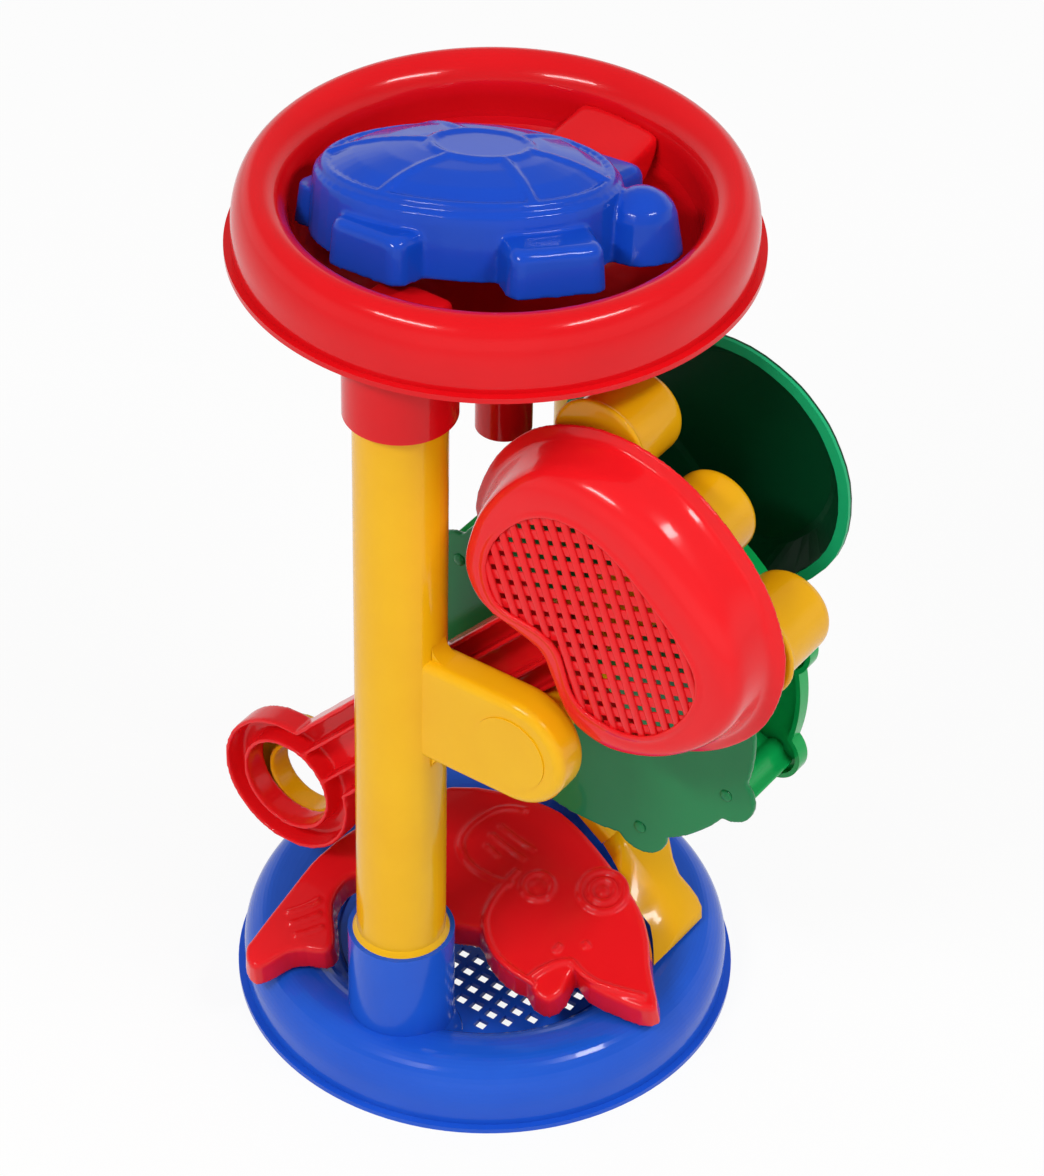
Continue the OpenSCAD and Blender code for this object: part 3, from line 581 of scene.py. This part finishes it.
# %% Fish lines
FISH_PLACE = turned((29, -42.6, 27.9), (23.9, "Z"), (18, "X"))
FISH_TOP = 12
LINE = 1.35
THIN_LINE = 0.85
LINE_LIFT = 0.1
FISH_LINES = {
    "head": [(4.6, 48.1), (-0.4, 40.5), (-3.1, 32.1), (-4.1, 25.9), (-1.4, 17.8), (4.5, 9.2), (13.9, 4.7),
             (19.7, 2.1)],
    "left lip": [(17.2, 4.1), (22.3, 10.9), (27.1, 13.5), (31.4, 13.6)],
    "right lip": [(31.4, 13.6), (36.5, 8.4), (43.4, 5.4), (53.1, 4.6), (60.5, 3.4)],
    "left nostril": [(24.4, 16.8), (25.9, 19.9)],
    "right nostril": [(34.5, 22.5), (36, 20.3)],
    "fin": [(3.6, 41.8), (-9.6, 43.3), (-18.8, 51.6), (-19.5, 60.2), (-12.7, 70.1), (-4.9, 75.1),
            (2.9, 73.9)],
}
FISH_THIN_LINES = {
    "upper fin rib": [(-5.7, 66), (2.5, 60.5), (9.2, 57.5)],
    "middle fin rib": [(-8.5, 62), (-1, 56.5), (6.5, 53)],
    "lower fin rib": [(-9.5, 57), (-3.5, 52.5)],
    "upper tail ray": [(-77, 16.5), (-71, 19), (-66, 24)],
    "middle tail ray": [(-75, 12), (-70, 14), (-64.5, 18.5)],
    "lower tail ray": [(-72, 7.5), (-67.5, 9.5), (-62.5, 13)],
}
LEFT_EYE = (13.1, 42.7)
RIGHT_EYE = (37.4, 44.8)
RINGS = ((LEFT_EYE, 5.6), (RIGHT_EYE, 8.8), (RIGHT_EYE, 4.8))
PUPILS = ((LEFT_EYE, 3.6, 1.3), (RIGHT_EYE, 2.6, 1.4))
PUPIL_SINK = 0.2
RING_POINTS = 16
print("fish lines:", len(FISH_LINES) + len(FISH_THIN_LINES), "rings:", len(RINGS))

# %% Fish
FISH_VOXEL = 0.62
FISH_ROUNDS = 1


def make_fish():
    bm = cad_copy("fish_mould")
    line_z = FISH_TOP + LINE_LIFT
    for lines, radius in ((FISH_LINES, LINE), (FISH_THIN_LINES, THIN_LINE)):
        for line in lines.values():
            bead(bm, [(x, y, line_z) for x, y in line], radius, FISH_PLACE)
    for (x, y), ring in RINGS:
        turns = [2 * math.pi * i / RING_POINTS for i in range(RING_POINTS)]
        circle = [(x + ring * math.cos(t), y + ring * math.sin(t), line_z) for t in turns]
        bead(bm, circle, LINE, FISH_PLACE, closed=True)
    for (x, y), radius, height in PUPILS:
        button(bm, (x, y, FISH_TOP - PUPIL_SINK), radius, height, FISH_PLACE)
    melted("fish", bm, FISH_VOXEL, FISH_ROUNDS, "fish_mould")


make_fish()

# %% [markdown]
# ## Scoop
# The scoop leans along its handle, so its outlines are drawn in a frame of their own: s runs up the
# handle from the point over the origin, n across it, and depth is the way to the front. Its floor
# rolls into the side in one wide round, and the sieve in it is a sheet of ribs over thin bars.

# %% Scoop outline
LEAN = math.radians(47.5)
TOOL_PLACE = Matrix((
    (math.cos(LEAN), -math.sin(LEAN), 0, 0),
    (0, 0, -1, 0),
    (math.sin(LEAN), math.cos(LEAN), 0, 0),
    (0, 0, 0, 1),
))
SCOOP_AT = (193.0, 103.0)
SCOOP_WIDTH = 127
SCOOP_FRONT = 58.8
FLOOR_SHARES = [
    (0.063, 0), (0.03, 0.1), (-0.008, 0.205), (0.02, 0.3), (0.095, 0.355), (0.205, 0.405),
    (0.335, 0.43), (0.47, 0.42), (0.6, 0.34), (0.68, 0.19), (0.7, 0),
]
SIEVE_FIELD = [
    (208.5, 140), (202.5, 133.5), (199.2, 125), (203, 118.5), (208.8, 111), (211.3, 104.5), (210.3, 98),
    (205, 90.5), (202, 81.5), (205.7, 73.4), (212.2, 65), (222.6, 59.3), (236, 58.7), (247, 61), (256.5, 66),
    (261.7, 73), (263.5, 82), (264, 92.5), (264, 104), (263.3, 115), (261, 126), (256.5, 135), (249.4, 141.8),
    (241, 145.3), (231, 146.3), (218, 144.8),
]


def rounded_line(points, steps=4):
    """A closed smooth curve through points of a plane."""
    line = []
    for i in range(len(points)):
        a, b, c, d = (Vector(points[(i + k) % len(points)]) for k in (-1, 0, 1, 2))
        for j in range(steps):
            t = j / steps
            line.append((2 * b + (c - a) * t + (2 * a - 5 * b + 4 * c - d) * t * t
                         + (3 * b - a - 3 * c + d) * t ** 3) / 2)
    return line


def pulled_in(line, share):
    """A line drawn towards its middle."""
    middle = sum(line, Vector((0, 0))) / len(line)
    return [middle + (point - middle) * share for point in line]


left_half = [(SCOOP_AT[0] + SCOOP_WIDTH * s, SCOOP_AT[1] + SCOOP_WIDTH * n) for s, n in FLOOR_SHARES]
right_half = [(s, 2 * SCOOP_AT[1] - n) for s, n in left_half[-2:0:-1]]
floor_line = rounded_line(left_half + right_half)
sieve_line = rounded_line(SIEVE_FIELD)
print("scoop:", len(floor_line), "points round its floor,", len(sieve_line), "round its sieve")

# %% [markdown]
# ## Plates and prisms
# A closed line becomes a solid in three steps: its edges are filled with triangles, the faces are
# extruded, and the new ones are moved along. The plate has a second line for its hole. The prism
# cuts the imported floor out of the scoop, so that the plate with the sieve's hole can take its place.

# %% Plates and prisms
def loop(bm, line, depth):
    """A closed ring of edges of a tool-frame line at one depth."""
    verts = [bm.verts.new(TOOL_PLACE @ (Vector((*point, depth)) * MM)) for point in line]
    return [bm.edges.new((verts[i - 1], verts[i])) for i in range(len(verts))]


def filled(bm, edges, depth):
    """Fills closed edges and extrudes the faces by some depth towards the front."""
    sheet = bmesh.ops.triangle_fill(bm, edges=edges, use_beauty=True)["geom"]
    faces = [part for part in sheet if isinstance(part, bmesh.types.BMFace)]
    grown = bmesh.ops.extrude_face_region(bm, geom=faces)["geom"]
    way = TOOL_PLACE.to_3x3() @ Vector((0, 0, depth * MM))
    bmesh.ops.translate(bm, verts=[part for part in grown if isinstance(part, bmesh.types.BMVert)], vec=way)


def prism(line, front, back):
    """A closed prism on a line between two depths, as an object that cuts another."""
    bm = bmesh.new()
    filled(bm, loop(bm, line, front), back - front)
    bmesh.ops.recalc_face_normals(bm, faces=bm.faces)
    return loose(bm, "cutter")


print("helpers:", loop.__name__, filled.__name__, "and", prism.__name__)

# %% [markdown]
# ## Scoop basket
# Past a border round the sieve the floor falls away along a quarter circle, which the height field
# of the melted skin follows: a vertex falls by how far it lies past the border.

# %% Scoop basket
CUTTER_SHARE = 0.9
CUTTER_OVER = 1
CUTTER_DEPTH = 4
PLATE_SHARE = 0.97
PLATE_SINK = 0.05
PLATE_WALL = 1.7
SIEVE_BEAD = 1.1
BEAD_SINK = 0.1
BORDER = 3.5
FLOOR_ROUND = 16
RIM_DEPTH = 36
SCOOP_VOXEL = 0.8
SCOOP_ROUNDS = 2
FLOOR_ROUNDS = 40
border = KDTree(len(sieve_line))
for index, point in enumerate(sieve_line):
    border.insert((*point, 0), index)
border.balance()
to_tool = TOOL_PLACE.inverted()
front_way = TOOL_PLACE.to_3x3() @ Vector((0, 0, 1))


def roll_floor(skin):
    """Lets the floor fall away past its border in one wide round, and picks what fell."""
    fallen = []
    for vert in skin.verts:
        s, n, depth = (to_tool @ vert.co) / MM
        past = border.find((s, n, 0))[2] - BORDER
        if depth > RIM_DEPTH and past > 0:
            fall = FLOOR_ROUND - math.sqrt(max(FLOOR_ROUND ** 2 - past ** 2, 0))
            vert.co -= front_way * (fall * (depth - RIM_DEPTH) / (SCOOP_FRONT - RIM_DEPTH) * MM)
            fallen.append(vert)
    return fallen


def make_basket():
    cut_line = pulled_in(floor_line, CUTTER_SHARE)
    cutter = prism(cut_line, SCOOP_FRONT + CUTTER_OVER, SCOOP_FRONT - CUTTER_DEPTH)
    wall = loose(cad_copy("scoop_basket"), "scoop_wall")
    bm = applied(wall, {"operation": "DIFFERENCE", "object": cutter, "solver": "MANIFOLD"}, "BOOLEAN")
    bpy.data.objects.remove(cutter)
    plate_front = SCOOP_FRONT - PLATE_SINK
    outer = loop(bm, pulled_in(floor_line, PLATE_SHARE), plate_front)
    filled(bm, outer + loop(bm, sieve_line, plate_front), -PLATE_WALL)
    ring = [(*point, SCOOP_FRONT - BEAD_SINK) for point in SIEVE_FIELD]
    bead(bm, ring, SIEVE_BEAD, TOOL_PLACE, closed=True)
    melted("scoop", bm, SCOOP_VOXEL, SCOOP_ROUNDS, "scoop_basket",
           reshape=roll_floor, zone_rounds=FLOOR_ROUNDS)


make_basket()

# %% [markdown]
# ## Sieve
# Broad ribs run one way and thin bars cross under them. Each is a bevelled bar as long as its
# straight line stays in the sieve's outline, found by walking along the line and asking at every
# half millimetre whether the point is inside.

# %% Runs inside a line
def is_inside(point, line):
    """Whether a point lies in a closed line, by counting the sides that it crosses."""
    crossed = 0
    for i, b in enumerate(line):
        a = line[i - 1]
        if (a[1] > point[1]) != (b[1] > point[1]):
            crossed += point[0] < a[0] + (point[1] - a[1]) / (b[1] - a[1]) * (b[0] - a[0])
    return crossed % 2 == 1


def runs_inside(start, way, line, reach=80, step=0.5):
    """The stretches of a straight way that lie in a closed line, as pairs of distances."""
    runs = []
    was_in = False
    for k in range(int(-reach / step), int(reach / step)):
        now_in = is_inside(start + way * (k * step), line)
        if now_in and not was_in:
            first = k * step
        if was_in and not now_in:
            runs.append((first, k * step))
        was_in = now_in
    return runs


sieve_middle = sum(sieve_line, Vector((0, 0))) / len(sieve_line)
print("the sieve's middle is inside:", is_inside(sieve_middle, sieve_line))

# %% Sieve
SIEVE_PITCH = 5.65
SIEVE_TURN = math.radians(-27)
SIEVE_MIDDLE_SHARE = 0.35
SIEVE_ROWS = 14
FIELD_SHARE = 1.01
RIB_SIZE = {"width": 3.0, "wall": 1.8, "sunk": 0.2, "edge": 0.7}
BAR_SIZE = {"width": 3.7, "wall": 0.8, "sunk": 1.1, "edge": 0.3}


def slat(bm, start, way, run, size):
    """A straight bar of a sieve between two distances along a way."""
    middle = start + way * ((run[0] + run[1]) / 2)
    turn = Matrix.Rotation(math.atan2(way[1], way[0]), 4, "Z")
    depth = SCOOP_FRONT - size["sunk"] - size["wall"] / 2
    shift = Matrix.Translation(Vector((middle[0], middle[1], depth)) * MM)
    stretch = Matrix.Diagonal(((run[1] - run[0]) * MM, size["width"] * MM, size["wall"] * MM, 1))
    bar = bmesh.ops.create_cube(bm, size=1, matrix=TOOL_PLACE @ shift @ turn @ stretch)["verts"]
    edges = {edge for vert in bar for edge in vert.link_edges}
    bmesh.ops.bevel(
        bm, geom=list(edges), offset=size["edge"] * MM, segments=2, affect="EDGES", profile=0.5, material=-1)


def make_sieve():
    bm = bmesh.new()
    along = Vector((math.cos(SIEVE_TURN), math.sin(SIEVE_TURN)))
    across = Vector((-along[1], along[0]))
    middle = Vector((SCOOP_AT[0] + SIEVE_MIDDLE_SHARE * SCOOP_WIDTH, SCOOP_AT[1]))
    line = pulled_in(sieve_line, FIELD_SHARE)
    for i in range(-SIEVE_ROWS, SIEVE_ROWS + 1):
        for way, side, size in ((across, along, RIB_SIZE), (along, across, BAR_SIZE)):
            start = middle + side * ((i + 0.5) * SIEVE_PITCH)
            for run in runs_inside(start, way, line):
                slat(bm, start, way, run, size)
    piece = add_piece("scoop_mesh", bm, "scoop_sieve")
    print("sieve:", len(piece.data.polygons), "faces")


make_sieve()

# %% [markdown]
# ## Rake
# The three fat tines are closed at the plate, so a disc fills each mouth before all of it is melted
# into one rounded skin.

# %% Rake
TINE_S = 258.1
TINE_N = (65.7, 107.4, 149.2)
TINE_FILL = 14.8
RAKE_FRONT = 32.3
TINE_CAP = 2
RAKE_VOXEL = 0.8
RAKE_ROUNDS = 5


def make_rake():
    bm = cad_copy("rake_head")
    for n in TINE_N:
        mouth = Matrix.Translation(Vector((TINE_S, n, RAKE_FRONT - TINE_CAP / 2)) * MM)
        bmesh.ops.create_cone(
            bm, cap_ends=True, segments=64, radius1=TINE_FILL * MM, radius2=TINE_FILL * MM,
            depth=TINE_CAP * MM, matrix=TOOL_PLACE @ mouth)
    melted("rake", bm, RAKE_VOXEL, RAKE_ROUNDS, "rake_head")


make_rake()

# %% [markdown]
# ## Rounded edges on the plain mouldings
# Handles and wheel are right as they are, except that a mould never leaves a sharp edge. The same
# melting rounds them. The base and the shovel stay as they are packed, because their thin lips and
# walls wouldn't outlast it.

# %% Rounded edges
EDGE_ROUNDS = 3
EDGE_VOXELS = {"scoop_handle": 0.8, "rake_handle": 0.8, "wheel_core": 0.8, "wheel_front_disc": 0.7}
for node, voxel in EDGE_VOXELS.items():
    melted(node + "_skin", cad_copy(node), voxel, EDGE_ROUNDS, node)

# %% [markdown]
# ## Hopper rim
# The hopper's rim rolls over from its flange to the bowl. Its profile is drawn as two lines, the
# outside and the back, a wall apart, and spun once round. Edges sharper than a limit keep their
# crisp shading.

# %% Hopper rim
RIM_TURNS = 192
RIM_SHARP = 40
CREST_R = 80
OUTSIDE_Z = 339
INSIDE_Z = 341
BACK_SINK = 0.5
OUTSIDE_RADII = (8.5, 16)
INSIDE_RADII = (10.8, 14)
BACK_OUT_RADII = (6.3, 13.8)
BACK_IN_RADII = (8.7, 12.3)
FLANGE = [(91, 329), (91, 331), (88.5, 331)]
FLANGE_BACK = [(86.3, 329)]
BOWL_SEAM = [(68.6, 337.5), (70.8, 337.5)]


def quarter(centre, radii, start, stop, count=14):
    """Points of an elliptic arc between two angles in degrees."""
    turns = [math.radians(start + (stop - start) * i / count) for i in range(count + 1)]
    return [(centre[0] + radii[0] * math.cos(t), centre[1] + radii[1] * math.sin(t)) for t in turns]


def make_rim():
    profile = FLANGE + quarter((CREST_R, OUTSIDE_Z), OUTSIDE_RADII, 0, 90)
    profile += quarter((CREST_R, INSIDE_Z), INSIDE_RADII, 90, 180)[1:] + BOWL_SEAM
    profile += quarter((CREST_R, INSIDE_Z - BACK_SINK), BACK_IN_RADII, 180, 90)
    profile += quarter((CREST_R, OUTSIDE_Z), BACK_OUT_RADII, 90, 0)[1:] + FLANGE_BACK
    bm = bmesh.new()
    verts = [bm.verts.new((r * MM, 0, z * MM)) for r, z in profile]
    for i, vert in enumerate(verts):
        bm.edges.new((vert, verts[(i + 1) % len(verts)]))
    bmesh.ops.spin(bm, geom=bm.verts[:] + bm.edges[:], cent=(0, 0, 0), axis=(0, 0, 1),
                   angle=2 * math.pi, steps=RIM_TURNS, use_merge=True)
    piece = add_piece("hopper_rim_skin", bm, "hopper_rim")
    piece.data.set_sharp_from_angle(angle=math.radians(RIM_SHARP))
    print("hopper rim:", len(piece.data.polygons), "faces")


make_rim()

# %% [markdown]
# ## Caps over the posts
# Each post ends in a box-shaped cap that rises from the bowl. The cap at the back shows best: it is
# larger, rounder and reaches higher up the bowl's wall.

# %% Caps
CAP_AT = (4.5, 69)
CAP_GROWTH = (1.25, 1.12, 1)
CAP_RISE = 3.5
CAP_FOOT = 10
CAP_VOXEL = 0.8
CAP_ROUNDS = 12


def make_caps():
    bm = cad_copy("hopper_caps")
    low = min(vert.co.z for vert in bm.verts)
    seat = Vector((*CAP_AT, low / MM)) * MM
    for vert in bm.verts:
        if vert.co.y < 0:
            continue
        off = vert.co - seat
        vert.co = seat + Vector([off[i] * CAP_GROWTH[i] for i in range(3)])
        vert.co.z += CAP_RISE * MM if off.z > CAP_FOOT * MM else 0
    melted("hopper_caps_skin", bm, CAP_VOXEL, CAP_ROUNDS, "hopper_caps")


make_caps()

# %% [markdown]
# ## Spade blade
# The blade is a thin curved sheet. Its own mesh is enough, and shading it smoothly hides the facets
# while the rim of the sheet stays crisp.

# %% Spade blade
BLADE_SHARP = 50
spade = add_piece("spade_skin", cad_copy("spade_blade"), "spade_blade")
spade.data.set_sharp_from_angle(angle=math.radians(BLADE_SHARP))
print("spade blade:", len(spade.data.polygons), "faces")
